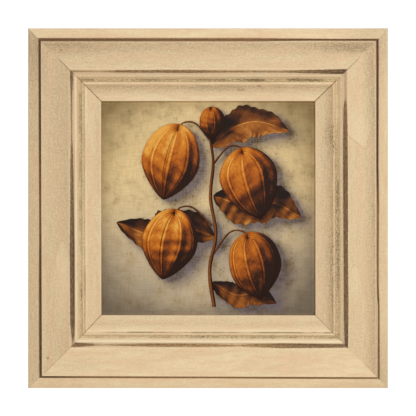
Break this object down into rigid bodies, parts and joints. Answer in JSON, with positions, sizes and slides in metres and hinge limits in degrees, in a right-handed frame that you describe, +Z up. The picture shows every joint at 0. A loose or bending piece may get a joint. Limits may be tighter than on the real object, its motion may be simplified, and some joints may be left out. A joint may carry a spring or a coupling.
{
  "type": "framed picture",
  "caption": "Square stretched-canvas picture in a wide mitred wooden moulding with a rubbed cream finish, hung on a wall by a sawtooth hanger.",
  "frame": {"origin": "where the wall nail, under the hanger's middle notch, comes out of the wall", "axes": "+Z up along the wall, +Y into the wall, so the picture faces -Y, +X to the right as the picture is looked at"},
  "size_m": [0.4064, 0.0396, 0.4064],
  "materials": {
    "moulding": "cream wash rubbed through to brown at the arrises, satin",
    "canvas": "primed and painted cotton canvas, matt",
    "stretcher_wood": "planed bare pine",
    "zinc": "bright zinc plate",
    "brass": "brass plate",
    "bumper": "matt black rubber"
  },
  "bodies": {
    "root": {"rail_bottom": "moulding", "rail_left": "moulding", "rail_top": "moulding", "rail_right": "moulding", "stretcher_bottom": "stretcher_wood", "stretcher_left": "stretcher_wood", "stretcher_top": "stretcher_wood", "stretcher_right": "stretcher_wood", "canvas": "canvas", "staple_bottom_1": "zinc", "staple_bottom_2": "zinc", "staple_bottom_3": "zinc", "staple_bottom_4": "zinc", "staple_left_1": "zinc", "staple_left_2": "zinc", "staple_left_3": "zinc", "staple_left_4": "zinc", "staple_top_1": "zinc", "staple_top_2": "zinc", "staple_top_3": "zinc", "staple_top_4": "zinc", "staple_right_1": "zinc", "staple_right_2": "zinc", "staple_right_3": "zinc", "staple_right_4": "zinc", "v_nail_bottom_1": "zinc", "v_nail_bottom_2": "zinc", "v_nail_left_1": "zinc", "v_nail_left_2": "zinc", "v_nail_top_1": "zinc", "v_nail_top_2": "zinc", "v_nail_right_1": "zinc", "v_nail_right_2": "zinc", "clip_bottom": "zinc", "clip_left": "zinc", "clip_top": "zinc", "clip_right": "zinc", "clip_screw_bottom": "zinc", "clip_screw_left": "zinc", "clip_screw_top": "zinc", "clip_screw_right": "zinc", "hanger": "brass", "hanger_nail_left": "brass", "hanger_nail_right": "brass", "bumper_left": "bumper", "bumper_right": "bumper"}
  },
  "joints": []
}
